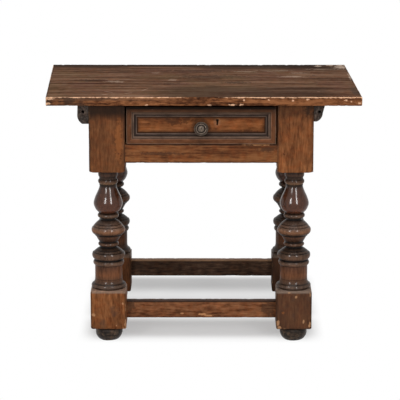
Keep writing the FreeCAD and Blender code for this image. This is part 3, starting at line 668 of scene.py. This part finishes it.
# turned legs on bun feet
legs = {
    "lowerBlock": (0.04, 0.156), "upperBlock": (0.5065, 0.706), "steps": 96, "overlap": 0.002,
    "merge": 0.0001, "lowerRound": 0.0055, "upperRound": 0.0026, "slice": 0.0065, "arrisWidth": 0.005,
    "blankMargin": 0.001,
    # the rounded shoulder of a block: its drop and inset, where its arc bends, and how far its cutter goes on
    "pommelDrop": 0.011, "pommelInset": 0.015, "pommelBend": (0.2, 0.3), "beyond": 0.01,
    "edgeDents": (0.003, 0.016, 5.0, 0.12), "wobble": (0.0006, 0.06), "knockDepth": 0.0016, "knockReach": 1.3,
    "knockInto": 0.012,
    "strokes": [
        [(0, 46.5), (7, 50.6), (14, 47)], [(0, 45.6), (4, 42.6), (14, 40.2)], [(0, 40), (41, 40)],
        [(0, 41.6), (7, 45.2), (14, 41.8)], [(0, 39.6), (4, 39.6)], [(0, 43.4), (10.5, 48.3), (19, 46.2)],
        [(0, 44.8), (7.5, 36.6), (15, 25.4)], [(0, 24.2), (4, 24.2)], [(0, 26.2), (5.5, 30.2), (11, 26.4)],
        [(0, 26.6), (2.5, 26.6)], [(0, 27.6), (9, 32.6), (18.5, 38)], [(0, 39.6), (3, 39.6)],
        [(0, 41.6), (11, 49.2), (20, 47.2)], [(0, 46.4), (11.5, 37.6), (23, 23.6)], [(0, 21.8), (5.5, 21.8)],
        [(0, 26), (7, 31.2), (14, 26.6)],
        [(0, 26.4), (5, 31.2), (13, 37.4), (29, 42.4), (47, 38), (62, 31.2), (75, 26), (82.5, 24.4)],
        [(0, 25.2), (5, 25.2)], [(0, 26), (7, 29), (13, 26.4)], [(0, 25.8), (4, 25.6), (8.5, 26.8)],
        [(0, 27.4), (7, 28.6), (13, 28)], [(0, 27.2), (6, 27.2)],
    ],
    "blockTones": ((80, 48, 28), (118, 73, 43), (149, 97, 59)),
    # colours up the turning, by height in metres: dark in the necks, pale on the rims and greyish on the
    # upward slopes, from wear and dust with painted highlights and sheen
    "bands": [(0.156, (28, 20, 16)), (0.163, (84, 66, 55)), (0.171, (62, 46, 36)), (0.182, (80, 54, 38)),
              (0.198, (104, 64, 40)), (0.222, (82, 52, 36)), (0.232, (96, 72, 57)), (0.241, (30, 21, 16)),
              (0.250, (92, 66, 50)), (0.262, (66, 50, 40)), (0.279, (26, 18, 14)), (0.287, (92, 66, 50)),
              (0.294, (26, 18, 14)), (0.304, (66, 42, 29)), (0.313, (82, 52, 35)), (0.3175, (30, 21, 16)),
              (0.328, (118, 80, 56)), (0.336, (98, 74, 60)), (0.352, (66, 50, 41)), (0.362, (26, 18, 14)),
              (0.372, (92, 70, 56)), (0.3785, (36, 24, 18)), (0.390, (82, 44, 26)), (0.408, (70, 38, 23)),
              (0.452, (60, 34, 21)), (0.461, (40, 28, 22)), (0.4655, (118, 88, 64)), (0.473, (78, 56, 43)),
              (0.483, (50, 36, 28)), (0.494, (72, 50, 39)), (0.503, (44, 31, 25))],
    # grooves of the turning, dark with dirt: height, half width and how dark
    "grooves": [(0.1705, 0.0018, 0.6), (0.1842, 0.0014, 0.4), (0.2252, 0.0018, 0.6), (0.241, 0.0036, 0.8),
                (0.279, 0.0034, 0.8), (0.2933, 0.0024, 0.8), (0.3145, 0.003, 0.8), (0.3617, 0.0042, 0.8),
                (0.4635, 0.0034, 0.8), (0.479, 0.0016, 0.6), (0.4875, 0.0016, 0.6), (0.5045, 0.0034, 0.8)],
    "fineLines": (0.2625, 0.2695, 0.3395, 0.347), "fineHalf": 0.0009, "fineDepth": 0.0012,
    "lineDirt": (0.0016, 0.6),
    # the grime tone also paints shade, under the top and on the rear legs
    "wear": (186, 140, 102), "grime": (42, 31, 24), "dust": (136, 119, 106), "soot": (26, 19, 14),
    "dirt": (15, 11, 9), "leftShade": (72, 46, 29), "rightShade": (62, 46, 38), "blotch": (74, 56, 46),
    # where the soot and painted shadow begin under the top, and the ends of the polished vase
    "sootShadowRise": (0.656, 0.684), "vaseFoot": (0.378, 0.388), "vaseHead": (0.464, 0.452),
    # marks on the front blocks: a warm streak on the left one, a dark smudge on the right one, and pale chips
    "streak": [(-0.236, 0.6, 0.012, 0.085)], "streakTone": (150, 90, 48),
    "smudge": [(0.306, 0.692, 0.016, 0.02)],
    "chips": [(-0.3115, 0.084, 0.009, 0.005), (-0.221, 0.058, 0.004, 0.013), (-0.226, 0.043, 0.007, 0.004),
              (-0.247, 0.052, 0.003, 0.005), (-0.228, 0.118, 0.003, 0.006),
              (0.276, 0.138, 0.004, 0.004), (0.255, 0.151, 0.005, 0.003), (0.2225, 0.0595, 0.005, 0.010),
              (0.228, 0.046, 0.007, 0.005), (0.298, 0.063, 0.003, 0.007), (0.316, 0.054, 0.004, 0.012),
              (0.317, 0.146, 0.003, 0.007)],
}
feet = {
    "strokes": [[(0, 28), (9, 35.8), (27, 40.2)], [(0, 40.2), (6, 40), (10, 38.6)], [(0, 37.4), (3, 37.4)]],
    "tones": ((18, 14, 11), (46, 37, 30), (96, 79, 64)), "wobble": (0.0012, 0.03, 2.0),
    # shade under the block, between two heights
    "shade": (0.03, 0.037), "shadeTone": (12, 9, 7),
}


def legFinish(centre, half):
    finish = Finish("turned walnut", 2.2, legs)
    x, y, z = finish.x, finish.y, finish.z
    cover, between, clouds = finish.cover, finish.between, finish.clouds
    bottom, top = legs["lowerBlock"][1], legs["upperBlock"][0]

    def marks(name, ragged):
        return finish.spots(onFront(legs[name], centre.y - half), ragged)

    # the blocks: grime and a painted shadow under the top, a darker right-hand foot block, streaks and stains
    finish.wood("z", "blockTones", 0.5, blockStreaks)
    lower = between(z, bottom + 0.0006, bottom + 0.0001)
    upper = between(z, top - 0.0001, top + 0.0001)
    onLeft = between(x, 0.1, -0.1)
    cover("leftShade", 0.44, upper, onLeft)
    cover("streakTone", 0.5, marks("streak", 1.2))
    # painted shadow of the top's overhang, with soot and grime, on the upper ends of the blocks
    underTop = between(z + (clouds(30, 6) - 0.5) * 0.016, *legs["sootShadowRise"])
    cover("soot", 0.8, underTop, onLeft)
    cover("grime", 0.5, underTop)
    cover("grime", 0.7, marks("smudge", 1.2))
    cover("rightShade", 0.68, lower, (x, -0.1, 0.1))
    cover("blotch", 0.55, lower, (clouds(26, 4), 0.52, 0.68))
    aside = half - abs(abs(x) + centre.x)
    before = half - abs(abs(y) + centre.y)
    ends = abs(z - bottom).least(abs(z - top)).least(z - legs["lowerBlock"][0])
    cover("grime", 0.55, (aside.most(before), 0.007, 0.002))
    finish.rub("wear", finish.arris(aside, before, ends), 0.0032, 0.36, 1 - upper * 0.8)
    cover("dust", 0.6, (z, bottom - 0.01, bottom - 0.004), lower)
    cover("wear", 0.7, marks("chips", 1.3), rough=0.6)
    # the turning: colours by height with painted highlights and sheen, streaked, and polished
    bands = finish.rampAlong(z, bottom, top, "bands")
    turned = (1 - lower) * between(z, top - 0.0001, top - 0.0006)
    cover(finish.scaled(bands, 0.4 + finish.figure * 1.45), 1.0, turned)
    lines = [(height, *legs["lineDirt"]) for height in legs["fineLines"]]
    for height, width, share in legs["grooves"] + lines:
        cover("dirt", share, (abs(z - height), width, width * 0.6))
    # the rear legs darker: painted shade
    cover("grime", 0.4, (y, 0.0, 0.1))
    vase = between(z, *legs["vaseFoot"]) * between(z, *legs["vaseHead"])
    finish.rough = finish.rough - turned * 0.12
    finish.relief = finish.relief * (1 - turned * 0.75 - vase * 0.25)
    polish = turned * (0.16 + vase * 0.36)
    return finish.done(0.0003, Specular_IOR_Level=0.03, Coat_Weight=polish, Coat_Roughness=0.14)


def buildLegs():
    low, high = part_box("front_left_leg")
    centre = (low + high) / 2
    half = (high.x - low.x) / 2
    blankRadius = half * math.sqrt(2) + legs["blankMargin"]
    inset = blankRadius - legs["pommelInset"]
    count = round(2 * half / legs["slice"])
    overlap = legs["overlap"]
    beyond = legs["beyond"]
    bendOut, bendDown = legs["pommelBend"]
    outline = turnedOutline(legs["strokes"], legs["lowerBlock"][1])
    outline = incise(outline, legs["fineLines"], legs["fineHalf"], legs["fineDepth"])
    (firstRadius, first), (lastRadius, last) = outline[0], outline[-1]
    outline = [(firstRadius, first - overlap), *outline, (lastRadius, last + overlap)]
    leg = turnOnLathe("leg", outline, legs["steps"])
    for (bottom, top), up, radius in ((legs["lowerBlock"], True, legs["lowerRound"]),
                                      (legs["upperBlock"], False, legs["upperRound"])):
        block = plank("block", (-half, -half, bottom), (half, half, top),
                      (count, count, round((top - bottom) / legs["slice"])))
        roundArrises(block, radius, 4)
        end = top if up else bottom
        drop = -legs["pommelDrop"] if up else legs["pommelDrop"]
        bend = ((inset + blankRadius) / 2 + legs["pommelInset"] * bendOut, end + drop * bendDown)
        shoulder = circleThrough((inset, end), bend, (blankRadius, end + drop), arcSteps)
        near, far = (top + beyond, bottom - beyond) if up else (bottom - beyond, top + beyond)
        shoulder = [(inset, near), *shoulder, (blankRadius, far)]
        combine(block, turnOnLathe("shoulder", shoulder, legs["steps"]), "INTERSECT")
        combine(leg, block, "UNION")
    pick(leg, "VERT")
    bpy.ops.mesh.remove_doubles(threshold=legs["merge"])
    bpy.ops.mesh.dissolve_degenerate(threshold=legs["merge"])
    putDown()
    # a middle point in each many-sided face that isn't level keeps the mesh closed in triangles
    pick(leg, "FACE", lambda face: len(face.verts) > 4 and abs(face.normal.z) < 0.99)
    bpy.ops.mesh.poke()
    putDown()
    foot = turnOnLathe("foot", turnedOutline(feet["strokes"], 0.0), legs["steps"])
    finish = legFinish(centre, half)
    dark = Finish("blackened feet", 3.3, feet)
    dark.wood("x", "tones", 0.4, footStreaks)
    dark.cover("shadeTone", 0.85, (dark.z, *feet["shade"]), rough=0.9)
    footFinish = dark.done(0.0008, Specular_IOR_Level=0.14)
    wider = legs["knockReach"]
    chips = [((x, centre.y - half, z), (width * wider, legs["knockInto"], height * wider))
             for x, z, width, height in legs["chips"]]
    for number, corner in enumerate(("front_left", "front_right", "rear_left", "rear_right")):
        low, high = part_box(corner + "_leg")
        place = Vector(((low.x + high.x) / 2, (low.y + high.y) / 2, 0))
        worn = copyOf(leg, corner + "_leg_worn", place, (0, 0, number * math.pi / 2))

        def onArris(vert):
            gaps = (half - abs(vert.co.x - place.x), half - abs(vert.co.y - place.y),
                    min(abs(vert.co.z - level) for level in legs["lowerBlock"] + legs["upperBlock"]))
            isLower = vert.co.z < legs["lowerBlock"][1] + hair
            isUpper = vert.co.z > legs["upperBlock"][0] - hair
            return (isLower or isUpper) and sorted(gaps)[1] < legs["arrisWidth"]

        pick(worn, "VERT", onArris)
        keepGroup(worn, "edges")
        batter(worn, *legs["edgeDents"], group="edges")
        batter(worn, *legs["wobble"])
        knock(worn, chips, legs["knockDepth"])
        smoothShade(worn)
        install(worn, corner + "_leg", finish)
        bun = copyOf(foot, corner + "_foot_worn", place)
        batter(bun, *feet["wobble"])
        smoothShade(bun)
        install(bun, corner + "_foot", footFinish)
    discard(leg)
    discard(foot)


buildLegs()
print("legs built")


# rails, boards and stretchers between the legs
rails = {
    "round": 0.0018, "seat": 0.001, "wobble": (0.0006, 0.07), "chips": (0.0009, 0.014, 5.0, 0.1),
    # slices along a piece and across it, by axis
    "slicesAlong": 90, "slices": (4, 4, 8), "farEnd": 4.0,
    "tones": ((62, 37, 21), (100, 60, 35), (130, 84, 50)),
    "paleTones": ((70, 43, 27), (116, 74, 48), (144, 98, 66)),
    "darkTones": ((42, 31, 25), (69, 51, 40), (96, 73, 57)),
    "wear": (190, 136, 92), "grime": (44, 33, 26), "stain": (66, 48, 36),
    # top faces in their own tones: darker on the front stretcher, painted light on the rear one, which the
    # table shades
    "topFaces": {"front_stretcher": (36, 26, 20), "rear_stretcher": (168, 128, 96)},
    # pieces with marks and stains on their fronts, which lie here
    "fronts": {"front_rail": -0.262, "front_stretcher": -0.228},
    "marks": {
        "front_rail": [(0.165, 0.589, 0.05, 0.003)],
        "front_stretcher": [(0.004, 0.076, 0.016, 0.004), (-0.057, 0.079, 0.006, 0.003),
                            (0.02, 0.073, 0.014, 0.003)],
    },
    "stains": {
        "front_rail": [(-0.12, 0.563, 0.09, 0.005), (0.19, 0.575, 0.03, 0.008)],
        "front_stretcher": [(0.2, 0.095, 0.03, 0.03), (-0.205, 0.1, 0.02, 0.02)],
    },
    # the pieces: the way they run, the seed of their grain and their tones
    "pieces": [
        ("front_rail", "x", 5.2, "tones"), ("rear_apron", "x", 6.1, "tones"),
        ("left_apron", "y", 7.4, "tones"), ("right_apron", "y", 8.8, "tones"),
        ("front_stretcher", "x", 9.3, "paleTones"), ("rear_stretcher", "x", 2.7, "darkTones"),
        ("left_stretcher", "y", 3.6, "paleTones"), ("right_stretcher", "y", 4.9, "paleTones"),
    ],
}


def railFinish(node, along, seed, tones, low, high):
    finish = Finish(node, seed, rails)
    finish.wood(along, tones, 0.5, railStreaks if node == "front_rail" else plainStreaks)
    front = rails["fronts"].get(node)
    if front:
        finish.cover("stain", 0.6, finish.spots(onFront(rails["stains"][node], front), 1.4))
    distance = finish.boxArris(low, high)
    finish.cover("grime", 0.7, (distance, 0.005, 0.001))
    finish.rub("wear", distance, 0.0028, 0.12)
    # the top face's own tone, a painted light on the rear stretcher
    if node in rails["topFaces"]:
        finish.cover(rails["topFaces"][node], 0.75, (finish.z, high.z - 0.004, high.z - 0.0015))
    if front:
        finish.cover("wear", 0.8, finish.spots(onFront(rails["marks"][node], front), 1.2))
    return finish.done(0.0003, Specular_IOR_Level=0.03)


def buildRails():
    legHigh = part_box("front_left_leg")[1]
    inner = {"x": -legHigh.x, "y": -legHigh.y}
    for node, along, seed, tones in rails["pieces"]:
        low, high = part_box(node)
        axis = "xyz".index(along)
        reach = inner[along] + rails["seat"]
        low[axis], high[axis] = -reach, reach
        counts = list(rails["slices"])
        counts[axis] = rails["slicesAlong"]
        rail = plank(node + "_worn", low, high, counts)

        def isLong(edge):
            return abs(edge.verts[0].co[axis] - edge.verts[1].co[axis]) > hair

        roundArrises(rail, rails["round"], 3, isLong)
        batter(rail, *rails["wobble"])
        batter(rail, *rails["chips"], group="arris")
        smoothShade(rail, sharp)
        # the ends lie in the legs, so they don't count as edges
        far = Vector([rails["farEnd"] if letter == along else 0.0 for letter in "xyz"])
        install(rail, node, railFinish(node, along, seed, tones, low - far, high + far))


buildRails()
print("rails built")


# the drawer's front: a sunk field inside mitred mouldings
drawerFace = {
    "tones": ((78, 46, 26), (127, 77, 44), (153, 99, 58)),
    "mouldingTones": ((70, 50, 38), (98, 68, 48), (122, 90, 68)),
    "grime": (46, 33, 25), "mottle": (70, 44, 28), "keyholeTone": (158, 116, 86), "knobShade": (62, 44, 33),
    # a dark line where the field meets the mouldings, grime with painted shade, and a near-black painted
    # shadow under the top
    "rim": (28, 20, 16), "gap": (14, 11, 9),
    # colours from the drawer's outer edge inwards, in metres: pale lines on the crests are wear and painted
    # highlights, dark lines in the quirk and cove painted shade
    "bands": [(0.0, (118, 96, 80)), (0.002, (94, 60, 40)), (0.012, (100, 62, 40)), (0.0145, (116, 88, 70)),
              (0.0163, (50, 38, 31)), (0.0195, (116, 94, 80)), (0.0225, (56, 45, 40)), (0.0262, (54, 45, 41)),
              (0.0282, (118, 98, 86)), (0.029, (50, 36, 28))],
    "keyholeWear": ((0.046, -0.252, 0.652), (0.013, 0.03, 0.017)),
    "mottling": [((-0.075, -0.252, 0.656), (0.03, 0.03, 0.012)), ((-0.04, -0.252, 0.66), (0.02, 0.03, 0.012)),
                 ((0.13, -0.252, 0.625), (0.03, 0.03, 0.006))],
}


def edgeDistance(finish):
    # inwards from the outer edge of the drawer's front
    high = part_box("top_moulding")[1]
    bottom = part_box("bottom_moulding")[0].z
    return (high.x - abs(finish.x)).least(high.z - finish.z).least(finish.z - bottom)


def knobDistance(finish):
    low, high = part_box("drawer_knob")
    rise = finish.z - (low.z + high.z) / 2
    return (finish.x * finish.x + rise * rise) ** 0.5


def fieldFinish():
    finish = Finish("drawer field", 6.4, drawerFace)
    finish.wood("x", "tones", 0.46, fieldStreaks)
    finish.cover("mottle", 0.6, finish.spots(drawerFace["mottling"], 2.2))
    finish.cover("keyholeTone", 0.35, finish.spots([drawerFace["keyholeWear"]], 0.7))
    around = knobDistance(finish) + (finish.clouds(60, 8) - 0.5) * 0.02
    finish.cover("knobShade", 0.6, (around, 0.032, 0.021))
    inwards = edgeDistance(finish)
    # a dark line and a darker band along the border, where the mouldings stand over the field: grime and
    # painted shade
    finish.cover("rim", 0.85, (inwards, 0.0345, 0.0305))
    ragged = (finish.clouds(45, 6) - 0.5) * 0.012
    finish.cover("grime", 0.7, (inwards + ragged, 0.044, 0.029))
    finish.cover("grime", 0.35, (finish.z, 0.63, 0.618))
    return finish.done(0.0003, Specular_IOR_Level=0.02)


def mouldingFinish(name, along, seed):
    finish = Finish(name, seed, drawerFace)
    finish.wood(along, "mouldingTones", 0.46)
    # the bands: wear and painted highlights on the crests, painted shade in the hollows
    bands = finish.rampAlong(edgeDistance(finish), 0.0, 0.03, "bands")
    finish.color = finish.scaled(bands, 0.35 + finish.figure * 1.3)
    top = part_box("top_moulding")[1].z
    # darker towards the top: painted shadow of the overhanging top with grime, then a near-black painted
    # shadow line
    finish.cover("grime", 0.7, (finish.z, top - 0.03, top - 0.004))
    finish.cover("gap", 0.85, (finish.z, top - 0.008, top - 0.005))
    finish.cover("grime", 0.4, (finish.clouds(20, 4, 4), 0.5, 0.7))
    return finish.done(0.0002, Specular_IOR_Level=0.02)


def buildDrawerFace():
    flat = mouldingFinish("level mouldings", "x", 3.9)
    upright = mouldingFinish("upright mouldings", "z", 7.1)
    rows = [("drawer_front", fieldFinish()), ("top_moulding", flat), ("bottom_moulding", flat),
            ("left_moulding", upright), ("right_moulding", upright)]
    for node, finish in rows:
        install(cadCopy(node, node + "_worn"), node, finish)


buildDrawerFace()
print("drawer front built")


# the knob: turned bronze with rings, on a riveted shank
knob = {
    "strokes": [[(0, 11), (2.5, 11)], [(0, 9), (4, 6.4), (7, 6.8)], [(0, 6.8), (3.6, 10.6), (5.5, 18.2)],
                [(0, 18.2), (3.4, 20.6), (6.2, 19.1)]],
    # the face from the rim to the middle: radius and height above the rim
    "face": [[(19.1, 0), (18, -1.1), (16.8, -1.4)], [(16.8, -1.4), (14.2, 1), (11.6, -1.2)],
             [(11.6, -1.2), (8.4, 1.9), (0.02, 3.2)]],
    "shank": 4.0, "steps": 72, "smooth": 45, "dents": (0.0007, 0.007, 2.5, 0.6), "span": 0.021,
    # tones by distance from the axis, in metres
    "rings": [(0.0, (76, 64, 54)), (0.007, (88, 76, 65)), (0.0105, (40, 32, 26)), (0.0118, (34, 27, 22)),
              (0.0138, (104, 89, 76)), (0.0158, (48, 39, 32)), (0.0172, (32, 25, 21)), (0.0192, (94, 79, 66)),
              (0.0206, (70, 57, 47))],
}


def buildKnob():
    low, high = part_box("drawer_knob")
    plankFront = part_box("drawer_front")[0].y
    middle = Vector(((low.x + high.x) / 2, plankFront, (low.z + high.z) / 2))
    shank = knob["shank"] / 1000
    outline = [(shank, plankFront - high.y), (shank, 0.0)]
    outline += turnedOutline(knob["strokes"], 0.0)
    rim = outline[-1][1]
    for arc in knob["face"]:
        points = circleThrough(*arc, arcSteps)
        outline += [(radius / 1000, rim + height / 1000) for radius, height in points[1:]]
    turned = turnOnLathe("knobTurning", outline, knob["steps"])
    piece = copyOf(turned, "drawer_knob_turned", middle, (math.pi / 2, 0, 0))
    discard(turned)
    batter(piece, *knob["dents"])
    smoothShade(piece, knob["smooth"])
    finish = Finish("old bronze", 1.9, knob)
    worn = finish.clouds(210, 2, 4)
    rings = finish.rampAlong(knobDistance(finish), 0.0, knob["span"], "rings")
    finish.color = finish.scaled(rings, worn * 4.0 - 1.0)
    finish.rough = 0.4 + worn * 0.35
    finish.relief = worn
    install(piece, "drawer_knob", finish.done(0.0005, Metallic=0.35, Specular_IOR_Level=0.2))


buildKnob()
print("knob built")


# the rest of the nodes keep their shape, with broken edges
others = {
    "battens": ((34, 30, 27), (62, 55, 51), (94, 84, 77)),
    "poplar": ((104, 76, 50), (142, 108, 74), (170, 136, 100)),
    "pegs": ((70, 42, 25), (104, 63, 38), (128, 82, 50)),
    "nailHead": ((70, 50, 38), (94, 68, 52), (116, 88, 68)),
    "iron": (66, 60, 56), "rust": (92, 70, 54), "rough": 0.55,
}


def ironFinish():
    finish = Finish("dark iron", 4.4, others)
    rust = finish.clouds(110, 1, 4)
    finish.color = finish.mix(finish.between(rust, 0.42, 0.66), finish.named("iron"), finish.named("rust"))
    finish.rough = 0.35 + rust * 0.35
    finish.relief = rust
    return finish.done(0.0003, Metallic=0.75)


def boardFinish(name, along, tones, seed):
    finish = Finish(name, seed, others)
    finish.wood(along, tones, others["rough"])
    return finish.done(0.0003, Specular_IOR_Level=0.02)


def dressOthers():
    iron = ironFinish()
    pegs = boardFinish("peg ends", "y", "pegs", 6.6)
    heads = boardFinish("waxed nail heads", "x", "nailHead", 2.9)
    for node in bodyOf:
        solid = frame["nodes"][node]
        if solid.hide_render:
            continue
        slot = slotOf[node]
        if slot in ("wrought_iron", "peg_wood"):
            finish = pegs if slot == "peg_wood" else heads if node == "top_nails" else iron
            setFinish(solid, finish)
        else:
            along = "x" if node in ("drawer_back", "drawer_bottom") else "y"
            tones = "battens" if slot == "dark_wood" else "poplar"
            # the length of the name gives each board a grain of its own
            finish = boardFinish(node, along, tones, len(node) * 0.9)
            install(cadCopy(node, node + "_dressed"), node, finish)


dressOthers()
print("other nodes dressed")


# studio: a white floor that keeps the shadow, an overhead lamp, two tall soft boxes and two strips for gloss
studio = {
    # lamps: place, target, width and height, watts, and whether they are seen only as gloss
    "lamps": {
        "overhead": ((0.0, -1.2, 3.0), (0, -0.1, 0.5), (2.4, 1.6), 32.0, False),
        "left box": ((-1.15, -2.4, 1.35), (-0.2, -0.2, 0.45), (0.2, 1.05), 13.0, False),
        "right box": ((1.4, -3.4, 1.7), (0.2, -0.2, 0.45), (0.32, 1.5), 28.0, False),
        "left glint": ((-1.15, -2.4, 1.35), (-0.2, -0.2, 0.45), (0.36, 1.05), 60.0, True),
        "right glint": ((1.4, -3.4, 2.05), (0.2, -0.2, 0.45), (0.5, 2.3), 90.0, True),
    },
    "world": 0.42,
    # the floor's shadow: where it fades at the sides, front and back; paler strips: place, reach and share
    "shadowSides": (0.37, 0.3), "shadowFront": (-0.28, -0.13), "shadowBack": (0.54, 0.46), "shadowWhite": 0.3,
    "paleStrips": [(0.27, 0.13, 0.5), (0.015, 0.06, 0.45)],
}


def seenRays(finish):
    # 1 for what the camera sees, straight, mirrored or through glass
    straight, mirrored, through = (finish.node("ShaderNodeLightPath", {}, {}, name)
                                   for name in ("Is Camera Ray", "Is Glossy Ray", "Is Transmission Ray"))
    return straight.most(mirrored).most(through)


def buildStudio():
    deselect()
    bpy.ops.mesh.primitive_plane_add(size=60, location=(0, 0, 0))
    floor = bpy.context.object
    floor.name = "floor"
    pale = Finish("pale floor")
    shade = pale.between(pale.y, *studio["shadowFront"]) * pale.between(pale.y, *studio["shadowBack"])
    shade = shade * pale.between(abs(pale.x), *studio["shadowSides"])
    for place, reach, share in studio["paleStrips"]:
        shade = shade * (1 - pale.between(abs(pale.y - place), reach, 0.0) * share)
    matt = pale.node("ShaderNodeBsdfDiffuse", {}, {"Color": (0.8, 0.8, 0.8, 1.0)})
    white = pale.node("ShaderNodeEmission", {}, {"Color": (1, 1, 1, 1), "Strength": 1.0})
    share = 1 - shade * (1 - studio["shadowWhite"])
    surface = pale.node("ShaderNodeMixShader", {}, {0: seenRays(pale) * share, 1: matt, 2: white})
    pale.node("ShaderNodeOutputMaterial", {}, {"Surface": surface})
    floor.data.materials.append(pale.material)

    scene.world = bpy.data.worlds.new("studio")
    sky = Finish("sky", world=scene.world)
    dim, bright = (sky.node("ShaderNodeBackground", {}, {"Color": (1, 1, 1, 1), "Strength": strength})
                   for strength in (studio["world"], 1.0))
    both = sky.node("ShaderNodeMixShader", {}, {0: seenRays(sky), 1: dim, 2: bright})
    sky.node("ShaderNodeOutputWorld", {}, {"Surface": both})

    for name, (place, target, size, watts, glossOnly) in studio["lamps"].items():
        data = bpy.data.lights.new(name, "AREA")
        data.shape = "RECTANGLE"
        data.size, data.size_y = size
        data.energy = watts
        light = addObject(name, data)
        light.location = place
        aim = Vector(target) - Vector(place)
        light.rotation_euler = aim.to_track_quat("-Z", "Y").to_euler()
        light.visible_camera = False
        light.visible_diffuse = not glossOnly


buildStudio()
print("studio built")
